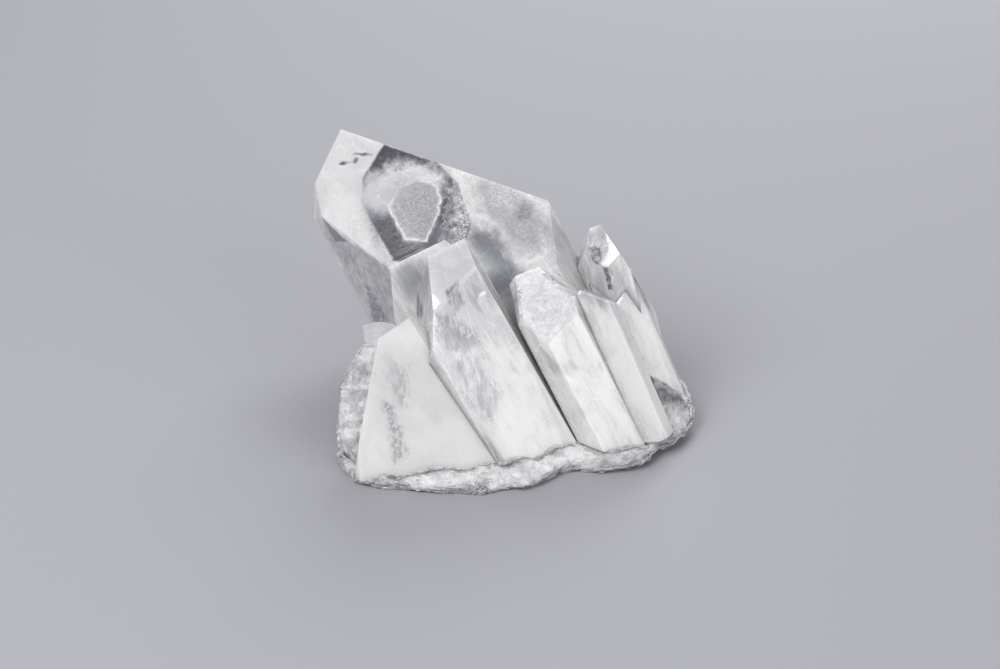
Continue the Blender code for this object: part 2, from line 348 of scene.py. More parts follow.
@dataclass(frozen=True)
class Mark:
    """Something seen through one face of a crystal, laid out in millimetres from the face's top corner.

    Attributes:
        cloud: How milky it is, from 0 for water clear to 1 for white.
        corners: Its corners in order, clockwise; or for an oval its centre and its two half widths.
        shape: How it is bounded.
        soft: The width over which it fades out.
        ragged: How far its outline wanders.
        strength: How much of what lies under it is covered.
        rim: The width of a bright line along its outline, or 0 for a filled mark.
        grain: The size of the granules that it breaks up into, or 0.
        drawn: How many times longer the granules are up the face than across it.
        turn: An oval's turn in degrees.
    """

    cloud: float
    corners: tuple[Point, ...]
    shape: Shape = Shape.POLYGON
    soft: float = 0.5
    ragged: float = 0.3
    strength: float = 1.0
    rim: float = 0.0
    grain: float = 0.0
    drawn: float = 1.0
    turn: float = 0.0

    def inside_oval(self, tree: Tree, place: Socket) -> Socket:
        """Adds nodes for how far inside an oval each point lies.

        Args:
            tree: The node tree.
            place: Points in the face's frame.

        Returns:
            The distance in millimetres, negative outside.
        """
        centre, radii = self.corners
        settings = {
            "Location": (*centre, 0),
            "Rotation": (0.0, 0.0, math.radians(self.turn)),
            "Scale": (*radii, 1e3),  # so wide that the distance off the face doesn't count
        }
        scaled = add_node(tree, Kind.MAPPING, {"vector_type": "TEXTURE", **settings}, {"Vector": place})
        reach = add_node(tree, Kind.VECTOR_MATH, {"operation": "LENGTH"}, {0: scaled}, "Value")
        smaller = min(radii)
        settings = {"operation": "MULTIPLY_ADD", 1: -smaller, 2: smaller}
        return add_node(tree, Kind.MATH, settings, {0: reach})

    def inside_sides(self, tree: Tree, place: Socket) -> Socket:
        """Adds nodes for how far inside straight sides each point lies.

        Args:
            tree: The node tree.
            place: Points in the face's frame.

        Returns:
            The distance in millimetres from the nearest side, negative outside.
        """
        found = None
        ends = self.corners[1:] + self.corners[:1]
        for (u0, v0), (u1, v1) in zip(self.corners, ends):
            length = math.hypot(u1 - u0, v1 - v0)
            normal = ((v1 - v0) / length, -(u1 - u0) / length, 0.0)
            settings = {"operation": "DOT_PRODUCT", 1: normal}
            along = add_node(tree, Kind.VECTOR_MATH, settings, {0: place}, "Value")
            offset = -(normal[0] * u0 + normal[1] * v0)
            depth = add_node(tree, Kind.MATH, {"operation": "ADD", 1: offset}, {0: along})
            if found is None:
                found = depth
            else:
                found = add_node(tree, Kind.MATH, {"operation": "MINIMUM"}, {0: found, 1: depth})
        return found

    def cover(self, tree: Tree, place: Socket, wander: Socket) -> Socket:
        """Adds nodes for how much the mark covers each point.

        Args:
            tree: The node tree.
            place: Points in the face's frame.
            wander: A smooth random value from -0.5 to 0.5, for the ragged outline.

        Returns:
            A value from 0 to `strength`.
        """
        inside = self.inside_oval if self.shape is Shape.OVAL else self.inside_sides
        depth = inside(tree, place)
        settings = {"operation": "MULTIPLY_ADD", 1: 2 * self.ragged}
        depth = add_node(tree, Kind.MATH, settings, {0: wander, 2: depth})
        if self.rim:
            off = add_node(tree, Kind.MATH, {"operation": "ABSOLUTE"}, {0: depth})
            depth = add_node(tree, Kind.MATH, {"operation": "SUBTRACT", 0: self.rim / 2}, {1: off})
        fade = {1: -self.soft / 2, 2: self.soft / 2, 3: 0.0, 4: self.strength}
        cover = add_node(tree, Kind.RANGE, {"interpolation_type": "SMOOTHSTEP", **fade}, {0: depth})
        if self.grain:
            long = add_node(tree, Kind.MAPPING, {"Scale": (1.0, 1 / self.drawn, 1.0)}, {"Vector": place})
            settings = {"Scale": 1 / self.grain, "Detail": 4.0, "Roughness": 0.75, "Distortion": 0.5}
            granules = add_node(tree, Kind.NOISE, settings, {"Vector": long})
            # Noise seldom leaves 0.42 to 0.58. A quarter of the mark stays between the granules.
            broken = add_node(tree, Kind.RANGE, {1: 0.42, 2: 0.58, 3: 0.25, 4: 1.0}, {0: granules})
            cover = add_node(tree, Kind.MATH, {"operation": "MULTIPLY"}, {0: cover, 1: broken})
        return cover


@dataclass(frozen=True)
class FacePicture:
    """What is seen through one face.

    Attributes:
        looks: The way that the face looks.
        marks: Its marks, from deepest to nearest.
    """

    looks: Direction
    marks: tuple[Mark, ...]


def cracked(tree: Tree, along: Socket, cloud: Socket, strength: float) -> Socket:
    """Adds nodes for healed cracks: fine white lines that come and go, mostly along z.

    Args:
        tree: The node tree.
        along: Places in millimetres.
        cloud: How white each place is without them.
        strength: How white they are.

    Returns:
        How white each place is with them.
    """
    bent = add_node(tree, Kind.NOISE, {"Scale": CRACK_BENDS, "Detail": 2.0}, {"Vector": along}, "Color")
    settings = {"operation": "MULTIPLY_ADD", 1: (CRACK_SWAY,) * 3}
    place = add_node(tree, Kind.VECTOR_MATH, settings, {0: bent, 2: along})
    place = add_node(tree, Kind.MAPPING, {"Scale": CRACK_CELLS}, {"Vector": place})
    settings = {"feature": "DISTANCE_TO_EDGE", "Scale": 1.0}
    gap = add_node(tree, Kind.CELLS, settings, {"Vector": place}, "Distance")
    line = add_node(tree, Kind.RANGE, {1: CRACK_LINE[0], 2: CRACK_LINE[1], 3: strength, 4: 0.0}, {0: gap})
    patch = add_node(tree, Kind.NOISE, {"Scale": CRACK_PATCHES, "Detail": 4.0}, {"Vector": along})
    here = add_node(tree, Kind.RANGE, {1: 0.5, 2: 0.6, 3: 0.0, 4: 1.0}, {0: patch})
    shown = add_node(tree, Kind.MATH, {"operation": "MULTIPLY"}, {0: line, 1: here})
    return add_node(tree, Kind.MATH, {"operation": "ADD", "use_clamp": True}, {0: cloud, 1: shown})


@dataclass(frozen=True)
class Layer:
    """One scale of unevenness inside quartz: how much it varies the clouding, and its size in millimetres.

    Attributes:
        swing: How far the clouding varies.
        width: Its width.
        stretch: How many times longer it is along the crystal than across.
        swirl: How far it is distorted.
    """

    swing: float
    width: float
    stretch: float = 1.0
    swirl: float = 0.0


# What hangs in most quartz: broad veils, wisps, fine streaks along the growth and tiny bubbles. Bubbles are
# finer than 0.1 mm in the stone, and are drawn 0.35 mm wide so that they show.
HAZE = (Layer(0.26, 5.0, 2.0, 0.6), Layer(0.12, 1.6, 4.0, 0.8), Layer(0.06, 0.5, 12.0), Layer(0.06, 0.35))
# A large clear tip holds thinner veils.
VEILS = (Layer(0.16, 8.0, 1.6, 0.8), Layer(0.08, 1.8, 3.0, 1.0), Layer(0.05, 0.5, 9.0), Layer(0.04, 0.35))
# Evenly milky quartz has hardly any.
MILK = (Layer(0.16, 7.0, 2.0, 0.6), Layer(0.03, 0.8, 14.0), Layer(0.05, 0.35))


@dataclass(frozen=True)
class GrownQuartz:
    """Quartz as it grew: lustrous flat faces, clear in places and clouded by veils and tiny bubbles.

    Attributes:
        name: The material's name.
        pictures: What is seen through its faces.
        window: The colour looked down into where it is water clear: painted shade, a dark grey that stands in
            for the dim depths seen through the colourless stone.
        clear: The colour where it is a little hazy: painted shade too, a grey for the depths half seen
            through it.
        clear_at: How clouded it is there.
        milky: The colour where it is clouded.
        cloud: How clouded it is at the tip, from 0 to 1.
        root_cloud: How clouded it is at the root.
        root_at: How far below the tip that is reached, in millimetres.
        layers: What varies the clouding.
        cracks: How white its healed cracks are.
        gloss: The roughness of its faces where it is clear.
        frost: The roughness where it is clouded.
        relief: The depth of the growth lines and pits, in millimetres.
        clearness: How much light passes where it is clear.
        coat: How strongly its faces mirror the light, like polished glass.
        coat_roughness: How much that mirror is dulled.
    """

    name: str
    pictures: tuple[FacePicture, ...] = ()
    window: str = "#67666E"
    clear: str = "#AFB1B6"
    clear_at: float = 0.42
    milky: str = "#E9E8E5"
    cloud: float = 0.6
    root_cloud: float = 0.95
    root_at: float = 30.0
    layers: tuple[Layer, ...] = HAZE
    cracks: float = 0.4
    gloss: float = 0.06
    frost: float = 0.3
    relief: float = 0.05
    clearness: float = 0.6
    coat: float = 1.0
    coat_roughness: float = 0.04

    def material(self, node: str) -> Material:
        """Makes the material for one crystal.

        Args:
            node: The CAD node that it is for.

        Returns:
            The material.
        """
        made = bpy.data.materials.new(self.name)
        made.use_nodes = True
        tree = made.node_tree
        shader = tree.nodes["Principled BSDF"]
        along = self.along_axis(tree, node)
        cloud = self.clouding(tree, along)
        for picture in self.pictures:
            cloud = self.painted(tree, cloud, Facet.of(node, picture.looks), picture.marks)
        cloud = cracked(tree, along, cloud, self.cracks)
        colour = add_node(tree, Kind.RAMP, links={0: cloud})
        ramp = colour.node.color_ramp
        # The clear end of the ramp is painted shade: dark grey and grey stand in for the depths seen through
        # colourless quartz. Only the milky end is the stone's own colour.
        ramp.elements[0].color = linear(self.window)
        ramp.elements[1].color = linear(self.milky)
        ramp.elements.new(self.clear_at).color = linear(self.clear)
        # Bubbles stop the light and dull the faces, a little at first and then altogether.
        passing = add_node(tree, Kind.RANGE, {1: 0.1, 2: 0.8, 3: self.clearness, 4: 0.0}, {0: cloud})
        rough = add_node(tree, Kind.RANGE, {1: 0.1, 2: 0.9, 3: self.gloss, 4: self.frost}, {0: cloud})
        tree.links.new(colour, shader.inputs["Base Color"])
        tree.links.new(passing, shader.inputs["Transmission Weight"])
        tree.links.new(rough, shader.inputs["Roughness"])
        tree.links.new(self.growth_relief(tree, along, cloud), shader.inputs["Normal"])
        shader.inputs["IOR"].default_value = QUARTZ_IOR
        scatter(shader, GROWN_SCATTER)
        shader.inputs["Coat Weight"].default_value = self.coat
        shader.inputs["Coat Roughness"].default_value = self.coat_roughness
        shader.inputs["Coat IOR"].default_value = QUARTZ_IOR
        made.diffuse_color = linear(self.milky)
        return made

    def along_axis(self, tree: Tree, node: str) -> Socket:
        """Adds nodes for places in millimetres from the crystal's tip, with z along its long axis."""
        turned = long_axis(node).to_track_quat("Z", "Y").to_euler()
        return measured(tree, tip_of(node), turned)

    def clouding(self, tree: Tree, along: Socket) -> Socket:
        """Adds nodes for how clouded the quartz is: more towards the root, and uneven at several scales.

        Args:
            tree: The node tree.
            along: Places from the tip, as `along_axis` gives them.

        Returns:
            The clouding, from 0 to 1.
        """
        height = add_node(tree, Kind.SPLIT, links={0: along}, out="Z")
        ends = {1: 0.0, 2: -self.root_at, 3: self.cloud, 4: self.root_cloud}
        cloud = add_node(tree, Kind.RANGE, {"interpolation_type": "SMOOTHSTEP", **ends}, {0: height})
        for layer in self.layers:
            stretch = {"Scale": (1.0, 1.0, 1 / layer.stretch)}
            place = add_node(tree, Kind.MAPPING, stretch, {"Vector": along})
            settings = {"Scale": 1 / layer.width, "Detail": 3.0, "Roughness": 0.55, "Distortion": layer.swirl}
            noise = add_node(tree, Kind.NOISE, settings, {"Vector": place})
            ends = {1: 0.25, 2: 0.75, 3: -layer.swing, 4: layer.swing}
            change = add_node(tree, Kind.RANGE, ends, {0: noise})
            cloud = add_node(tree, Kind.MATH, {"operation": "ADD", "use_clamp": True}, {0: cloud, 1: change})
        return cloud

    def painted(self, tree: Tree, cloud: Socket, facet: Facet, marks: tuple[Mark, ...]) -> Socket:
        """Adds nodes that lay one face's marks over the clouding, on that face only.

        Args:
            tree: The node tree.
            cloud: The clouding without them.
            facet: The face.
            marks: Its marks, from deepest to nearest.

        Returns:
            The clouding with them.
        """
        place = facet.coordinates(tree)
        height = add_node(tree, Kind.SPLIT, links={0: place}, out="Z")
        off_face = add_node(tree, Kind.MATH, {"operation": "ABSOLUTE"}, {0: height})
        ends = {1: FACE_DEPTH[0], 2: FACE_DEPTH[1], 3: 1.0, 4: 0.0}
        on_face = add_node(tree, Kind.RANGE, ends, {0: off_face})
        settings = {"Scale": OUTLINE_BENDS, "Detail": 6.0, "Roughness": 0.7}
        noise = add_node(tree, Kind.NOISE, settings, {"Vector": place})
        wander = add_node(tree, Kind.MATH, {"operation": "SUBTRACT", 1: 0.5}, {0: noise})
        for mark in marks:
            cover = mark.cover(tree, place, wander)
            cover = add_node(tree, Kind.MATH, {"operation": "MULTIPLY"}, {0: cover, 1: on_face})
            cloud = add_node(tree, Kind.MIX, {3: mark.cloud}, {0: cover, 2: cloud})
        return cloud

    def growth_relief(self, tree: Tree, along: Socket, cloud: Socket) -> Socket:
        """Adds nodes for fine growth lines across the long axis, with shallow pits where it is clouded.

        Args:
            tree: The node tree.
            along: Places from the tip, as `along_axis` gives them.
            cloud: The clouding.

        Returns:
            The normal.
        """
        lines = add_node(tree, Kind.MAPPING, {"Scale": GROWTH_LINES}, {"Vector": along})
        line = add_node(tree, Kind.NOISE, {"Scale": 1.0, "Detail": 3.0, "Roughness": 0.6}, {"Vector": lines})
        settings = {"Scale": GROWTH_PITS, "Detail": 5.0, "Roughness": 0.7}
        pit = add_node(tree, Kind.NOISE, settings, {"Vector": along})
        deep = add_node(tree, Kind.MATH, {"operation": "MULTIPLY"}, {0: pit, 1: cloud})
        height = add_node(tree, Kind.MATH, {"operation": "MULTIPLY_ADD", 1: LINE_SHARE}, {0: line, 2: deep})
        settings = {"Strength": 0.5, "Distance": self.relief * MILLIMETRE}
        return add_node(tree, Kind.BUMP, settings, {"Height": height})


@dataclass(frozen=True)
class Blow:
    """Where a crystal was snapped off.

    Attributes:
        looks: The way that the break looks.
        spacing: The spacing of its shell-like ripples in millimetres.
        reach: How far from the blow they fade out, in millimetres.
    """

    looks: Direction
    spacing: float
    reach: float


@dataclass(frozen=True)
class BrokenQuartz:
    """Quartz that was snapped or crushed: bright white, made of small tilted facets that glint.

    Attributes:
        name: The material's name.
        light: The colour of its brightest facets.
        dark: The colour of its darkest.
        grain: The facets' width in millimetres.
        tilt: How far the facets tilt, as a slope.
        gloss: The roughness of its smoothest facets.
        frost: The roughness of its roughest.
        cracks: How white its cracks are.
        clearness: How much light passes.
        blow: Where it was snapped off, if ripples show it.
        specks: Where dark specks gather on its front, as a share of its width, if they do.
    """

    name: str
    light: str = "#FAFAFA"
    dark: str = "#C2C3C6"
    grain: float = 1.1
    tilt: float = 0.7
    gloss: float = 0.12
    frost: float = 0.5
    cracks: float = 0.4
    clearness: float = 0.1
    blow: Blow | None = None
    specks: float | None = None

    def material(self, node: str) -> Material:
        """Makes the material for one piece.

        Args:
            node: The CAD node that it is for.

        Returns:
            The material.
        """
        made = bpy.data.materials.new(self.name)
        made.use_nodes = True
        tree = made.node_tree
        shader = tree.nodes["Principled BSDF"]
        place = measured(tree)
        large, shade = self.facets(tree, place, self.grain * LARGER_FACETS)
        small, glint = self.facets(tree, place, self.grain)
        height = add_node(tree, Kind.MATH, {"operation": "ADD"}, {0: large, 1: small})
        settings = {"Scale": CHALKY_PATCHES, "Detail": 6.0, "Roughness": 0.7}
        patches = add_node(tree, Kind.NOISE, settings, {"Vector": place})
        white = add_node(tree, Kind.RANGE, {1: 0.3, 2: 0.6, 3: 0.2, 4: 0.9}, {0: patches})
        # Painted light and shade: each facet is a little whiter or greyer than its patch, and the same random
        # value tilts it, so facets turned towards -x, the key light's side, are painted whiter; on the small
        # facets this is a painted glint.
        white = add_node(tree, Kind.MATH, {"operation": "MULTIPLY_ADD", 1: 0.1}, {0: shade, 2: white})
        white = add_node(tree, Kind.MATH, {"operation": "MULTIPLY_ADD", 1: 0.12}, {0: glint, 2: white})
        white = cracked(tree, place, white, self.cracks)
        if self.blow:
            wave = self.ripples(tree, place, node)
            # Painted light and shade: the ripples' crests are painted whiter and their troughs greyer, in
            # step with their height.
            raised = {"operation": "MULTIPLY_ADD", 1: RIPPLE_SHARE}
            height = add_node(tree, Kind.MATH, raised, {0: wave, 2: height})
            white = add_node(tree, Kind.MATH, raised, {0: wave, 2: white})
        settings = {"data_type": "RGBA", 6: linear(self.dark), 7: linear(self.light)}
        colour = add_node(tree, Kind.MIX, settings, {0: white}, 2)
        if self.specks:
            colour = self.specked(tree, place, colour, node)
        rough = add_node(tree, Kind.RANGE, {1: 0.2, 2: 0.8, 3: self.gloss, 4: self.frost}, {0: glint})
        bump = add_node(tree, Kind.BUMP, {"Strength": 0.8, "Distance": MILLIMETRE}, {"Height": height})
        tree.links.new(colour, shader.inputs["Base Color"])
        tree.links.new(rough, shader.inputs["Roughness"])
        tree.links.new(bump, shader.inputs["Normal"])
        shader.inputs["IOR"].default_value = QUARTZ_IOR
        shader.inputs["Transmission Weight"].default_value = self.clearness
        scatter(shader, BROKEN_SCATTER)
        made.diffuse_color = linear(self.light)
        return made

    def facets(self, tree: Tree, place: Socket, size: float) -> tuple[Socket, Socket]:
        """Adds nodes for facets of one size, each tilted its own way.

        Args:
            tree: The node tree.
            place: Places in millimetres.
            size: The facets' width in millimetres.

        Returns:
            Their height in millimetres, and a random value for each, which also sets its tilt towards -x and
            is used as painted light and shade.
        """
        bent = add_node(tree, Kind.NOISE, {"Scale": 1 / size, "Detail": 3.0}, {"Vector": place}, "Color")
        settings = {"operation": "MULTIPLY_ADD", 1: (size,) * 3}
        bent = add_node(tree, Kind.VECTOR_MATH, settings, {0: bent, 2: place})
        settings = {"Scale": 1 / size, "Randomness": 1.0}
        cells = add_node(tree, Kind.CELLS, settings, {"Vector": bent}, "Color")
        middle = cells.node.outputs["Position"]
        settings = {"data_type": "FLOAT_VECTOR", 9: (-self.tilt,) * 3, 10: (self.tilt,) * 3}
        slope = add_node(tree, Kind.RANGE, settings, {6: cells}, "Vector")
        off = add_node(tree, Kind.VECTOR_MATH, {"operation": "SUBTRACT"}, {0: bent, 1: middle})
        height = add_node(tree, Kind.VECTOR_MATH, {"operation": "DOT_PRODUCT"}, {0: off, 1: slope}, "Value")
        return height, add_node(tree, Kind.SPLIT, links={0: cells}, out="X")

    def specked(self, tree: Tree, place: Socket, colour: Socket, node: str) -> Socket:
        """Adds nodes that darken a patch with fine specks, each under half a millimetre wide.

        Args:
            tree: The node tree.
            place: Places in millimetres.
            colour: The colour without them.
            node: The CAD node.

        Returns:
            The colour with them.
        """
        settings = {"operation": "DISTANCE", 1: front_of(node, self.specks) / MILLIMETRE}
        reach = add_node(tree, Kind.VECTOR_MATH, settings, {0: place}, "Value")
        ends = {1: SPECKS_REACH[0], 2: SPECKS_REACH[1], 3: 1.0, 4: 0.0}
        near = add_node(tree, Kind.RANGE, ends, {0: reach})
        grit = add_node(tree, Kind.NOISE, {"Scale": 3.0, "Detail": 3.0, "Roughness": 0.8}, {"Vector": place})
        speck = add_node(tree, Kind.RANGE, {1: 0.46, 2: 0.52, 3: 0.0, 4: 0.9}, {0: grit})
        dark = add_node(tree, Kind.MATH, {"operation": "MULTIPLY"}, {0: near, 1: speck})
        return add_node(tree, Kind.MIX, {"data_type": "RGBA", 7: linear(SPECK)}, {0: dark, 6: colour}, 2)

    def ripples(self, tree: Tree, place: Socket, node: str) -> Socket:
        """Adds nodes for shell-like ripples that spread from the middle of the break.

        Args:
            tree: The node tree.
            place: Places in millimetres.
            node: The CAD node.

        Returns:
            Their height, from -0.5 to 0.5.
        """
        way = Vector(self.blow.looks).normalized()
        broken = [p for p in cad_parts[node].data.polygons if p.normal.dot(way) > BREAK_MIDDLE]
        middle = sum((p.center * p.area for p in broken), Vector()) / sum(p.area for p in broken)
        settings = {"operation": "DISTANCE", 1: middle / MILLIMETRE}
        reach = add_node(tree, Kind.VECTOR_MATH, settings, {0: place}, "Value")
        # They wander by up to 3 mm, and fade over the last part of their reach.
        bend = add_node(tree, Kind.NOISE, {"Scale": 0.35, "Detail": 3.0}, {"Vector": place})
        phase = add_node(tree, Kind.MATH, {"operation": "MULTIPLY_ADD", 1: 3.0}, {0: bend, 2: reach})
        rate = 2 * math.pi / self.blow.spacing
        turns = add_node(tree, Kind.MATH, {"operation": "MULTIPLY", 1: rate}, {0: phase})
        wave = add_node(tree, Kind.MATH, {"operation": "SINE"}, {0: turns})
        ends = {1: self.blow.reach * 0.6, 2: self.blow.reach, 3: 0.5, 4: 0.0}
        fade = add_node(tree, Kind.RANGE, ends, {0: reach})
        return add_node(tree, Kind.MATH, {"operation": "MULTIPLY"}, {0: wave, 1: fade})


def scatter(shader: bpy.types.ShaderNode, reach: float) -> None:
    """Lets light spread inside a material.

    Args:
        shader: The material's shader.
        reach: How far the light spreads, in millimetres.
    """
    shader.inputs["Subsurface Weight"].default_value = SCATTER_SHARE
    shader.inputs["Subsurface Radius"].default_value = (1.0, 1.0, 1.0)
    shader.inputs["Subsurface Scale"].default_value = reach * MILLIMETRE


@dataclass
class Crystal:
    """One crystal: its CAD solid with worn edges, closed up against its neighbours.

    Attributes:
        node: The CAD node.
        finish: The quartz that its faces are made of.
        snapped: The quartz of its broken end, if it has one.
        edge: The width of its worn edges in millimetres.
        swell: How far its faces move out to meet its neighbours, in millimetres.
    """

    node: str
    finish: GrownQuartz
    snapped: BrokenQuartz | None = None
    edge: float = 0.2
    swell: float = 0.15

    def build(self) -> Piece:
        """Makes the crystal's mesh and dresses it.

        Returns:
            The finished piece.
        """
        piece = copy_of(self.node, self.node + "_grown")
        in_edit_mode(
            piece,
            lambda: bpy.ops.mesh.remove_doubles(threshold=MERGE_WITHIN),
            lambda: bpy.ops.mesh.dissolve_limited(angle_limit=FLAT_WITHIN),
            lambda: bpy.ops.transform.shrink_fatten(value=self.swell * MILLIMETRE, use_even_offset=True),
        )
        apply_modifier(
            piece,
            "BEVEL",
            width=self.edge * MILLIMETRE,
            segments=2,
            limit_method="ANGLE",
            angle_limit=SHARP_ABOVE,
            material=1,
        )
        self.dress(piece)
        only(piece)
        bpy.ops.object.shade_smooth_by_angle(angle=SHARP_ABOVE)
        return settle(piece, self.node)

    def dress(self, piece: Piece) -> None:
        """Gives the faces, the worn edges and the broken end their materials.

        Args:
            piece: The crystal's piece, whose worn edges already have material 1.
        """
        piece.data.materials.clear()
        for finish in (self.finish, WORN_EDGE_AND_HIGHLIGHT):
            piece.data.materials.append(finish.material(self.node))
        if self.snapped:
            piece.data.materials.append(self.snapped.material(self.node))
            way = Vector(self.snapped.blow.looks).normalized()
            for polygon in piece.data.polygons:
                if polygon.material_index == 0 and polygon.normal.dot(way) > BREAK_RIM:
                    polygon.material_index = 2


@dataclass
class Crust:
    """A rough piece: the matrix, or the crushed lump beside it, with grains raised all over.

    Attributes:
        node: The CAD node.
        finish: The broken quartz that it is made of.
        lumps: The height of its larger lumps in millimetres.
        grains: The height of its grains in millimetres.
        cuts: How often each edge is divided before they are raised.
        lump_width: The lumps' width in millimetres.
        grain_width: The grains' width in millimetres.
    """

    node: str
    finish: BrokenQuartz
    lumps: float
    grains: float
    cuts: int = 3
    lump_width: float = 3.2
    grain_width: float = 1.1

    def build(self) -> Piece:
        """Makes the crust's mesh and dresses it.

        Returns:
            The finished piece.
        """
        piece = copy_of(self.node, self.node + "_crust")
        in_edit_mode(
            piece,
            lambda: bpy.ops.mesh.remove_doubles(threshold=MERGE_WITHIN),
            lambda: bpy.ops.mesh.subdivide(number_cuts=self.cuts),
        )
        self.roughen(piece, self.lumps, self.lump_width)
        self.roughen(piece, self.grains, self.grain_width)
        piece.data.materials.clear()
        piece.data.materials.append(self.finish.material(self.node))
        return settle(piece, self.node)

    def roughen(self, piece: Piece, height: float, width: float) -> None:
        """Raises angular blocks all over the piece.

        Args:
            piece: The piece.
            height: The blocks' height in millimetres.
            width: Their width in millimetres.
        """
        blocks = bpy.data.textures.new(f"{self.node}_blocks", "VORONOI")
        blocks.noise_scale = width * MILLIMETRE
        blocks.weight_1 = -1.0  # with weight 2, how far the border is: blocks that meet in creases
        blocks.weight_2 = 1.0
        apply_modifier(
            piece,
            "DISPLACE",
            texture=blocks,
            texture_coords="LOCAL",
            strength=height * MILLIMETRE,
            mid_level=0.3,
        )


def copy_of(node: str, name: str) -> Piece:
    """Makes a new piece with a copy of a CAD node's mesh.

    Args:
        node: The CAD node.
        name: The piece's name.

    Returns:
        The piece.
    """
    piece = bpy.data.objects.new(name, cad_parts[node].data.copy())
    bpy.context.scene.collection.objects.link(piece)
    return piece


def settle(piece: Piece, node: str) -> Piece:
    """Keeps a finished piece off the floor and puts it in its CAD node's stead.

    Args:
        piece: The piece.
        node: The CAD node.

    Returns:
        The piece.
    """
    for vert in piece.data.vertices:
        vert.co.z = max(vert.co.z, 0.0)
    piece.data.update()
    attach(piece, BODY)
    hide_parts(node)
    return piece


# Worn edges: quartz chips into minute steps, so each edge is a fine white line; the white is partly a painted
# highlight, for the light that the edges catch.
WORN_EDGE_AND_HIGHLIGHT = BrokenQuartz("quartz_edge_chipped_white_and_highlight", grain=0.4, tilt=0.3, clearness=0.4)

# The large crystal's broad end face.
PALE_END = ((-3.0, 1.0), (9.0, -1.0), (13.5, -24.0), (4.0, -24.0), (-6.0, -10.0))
WINDOW = (
    (9.2, -1.5), (20.2, -3.1), (25.5, -6.8), (30.4, -14.0), (30.6, -18.5),
    (25.5, -22.8), (18.5, -23.9), (9.0, -14.0), (7.4, -9.0),
)
PHANTOM = (
    (14.6, -9.8), (17.4, -7.4), (20.6, -7.5), (23.4, -10.0),
    (23.8, -14.5), (23.2, -18.8), (19.4, -19.3), (14.4, -13.8),
)
HAZE_PAINTED_DARK = (
    (30.6, -11.2), (34.8, -15.0), (41.0, -16.0), (42.6, -20.0),
    (42.4, -26.0), (38.5, -27.0), (33.5, -21.5), (31.0, -17.0),
)
GRANULAR_CLOUD = (
    (28.8, -4.8), (33.9, -4.6), (38.5, -6.9), (43.0, -12.0),
    (43.6, -16.5), (39.0, -15.4), (31.7, -10.2),
)
PALE_STREAK = ((5.0, -14.5), (6.6, -11.5), (16.2, -24.0), (13.5, -24.0))
TIP_FACE = FacePicture(
    looks=(-0.22, -0.56, 0.80),
    marks=(
        # The pale end and the clear window, then the smoke that crosses it and the granules on its right.
        Mark(0.84, PALE_END, soft=1.5, strength=0.6),
        Mark(0.05, WINDOW, soft=0.6, ragged=0.6),
        Mark(0.3, ((17.0, -13.5), (9.5, 8.5)), Shape.OVAL, soft=6.0, ragged=2.0, grain=0.5, strength=0.6),
        Mark(0.72, ((11.6, -11.0), (4.6, 4.6)), Shape.OVAL, soft=4.5, ragged=2.0, strength=0.95),
        Mark(0.78, ((17.8, -6.6), (6.4, 2.6)), Shape.OVAL, soft=3.2, ragged=2.2, turn=-10, strength=0.95),
        Mark(0.95, ((16.5, -7.2), (6.5, 2.6)), Shape.OVAL, 3.0, 3.0, turn=15, grain=0.6, strength=0.5),
        Mark(0.9, ((28.7, -13.5), (1.9, 7.5)), Shape.OVAL, 2.4, 2.6, turn=8, grain=0.35, strength=0.9),
        Mark(1.0, ((26.3, -11.5), (1.6, 7.0)), Shape.OVAL, 1.0, 4.0, turn=8, grain=0.28, strength=0.45),
        # The phantom: granular inside, with a broad healed rim.
        Mark(0.4, PHANTOM, soft=0.8, ragged=1.0),
        Mark(0.68, PHANTOM, soft=0.8, ragged=1.0, grain=0.4, strength=0.8),
        Mark(0.76, PHANTOM, soft=0.9, ragged=1.0, rim=0.8, strength=0.7),
        Mark(1.0, PHANTOM, soft=0.4, ragged=1.0, rim=0.3, grain=1.4),
        Mark(0.62, ((15.0, -9.6), (2.2, 3.4)), Shape.OVAL, 2.4, 1.6, turn=-35, grain=0.5, strength=0.9),
        # Hazy quartz lower down, clearer than round it, so the painted shade of the depths makes it darker; a
        # granular cloud and small dark inclusions.
        # Painted shade: this clearer patch takes the ramp's dark depth colour.
        Mark(0.22, HAZE_PAINTED_DARK, soft=3.0, ragged=2.4, strength=0.75),
        Mark(0.45, GRANULAR_CLOUD, soft=1.6, ragged=1.6, grain=0.4, strength=0.6),
        Mark(0.3, ((39.2, -9.9), (1.3, 2.0)), Shape.OVAL, soft=1.0, ragged=1.0, grain=0.3, strength=0.7),
        Mark(0.2, ((2.6, -6.7), (0.8, 0.25)), Shape.OVAL, soft=0.4, ragged=0.9, turn=20),
        Mark(0.25, ((5.4, -4.2), (1.2, 0.2)), Shape.OVAL, soft=0.4, ragged=0.9, turn=10),
        Mark(0.35, ((4.9, -5.6), (0.3, 0.5)), Shape.OVAL, soft=0.4, ragged=0.9),
        Mark(0.9, PALE_STREAK, soft=2.0, ragged=1.2, strength=0.5),
    ),
)
ETCHED_AREA = ((-1.6, -2.0), (16.5, -4.4), (19.7, -16.2), (12.5, -21.5), (6.0, -14.5))
ETCHED_LOW = ((9.3, -11.5), (14.0, -17.4), (13.0, -22.5), (8.8, -21.1))
LEFT_SIDE_FACE = FacePicture(
    looks=(-0.70, -0.69, -0.18),
    marks=(
        Mark(0.35, ETCHED_AREA, soft=1.5, ragged=1.6, grain=0.8, drawn=2.5, strength=0.6),
        Mark(0.15, ETCHED_LOW, soft=1.2, ragged=2.4, grain=0.5, drawn=2.0, strength=0.8),
        Mark(0.2, ((0.0, -0.6), (6.0, -3.2), (2.4, -4.6)), soft=0.5, ragged=0.4, strength=0.8),
    ),
)
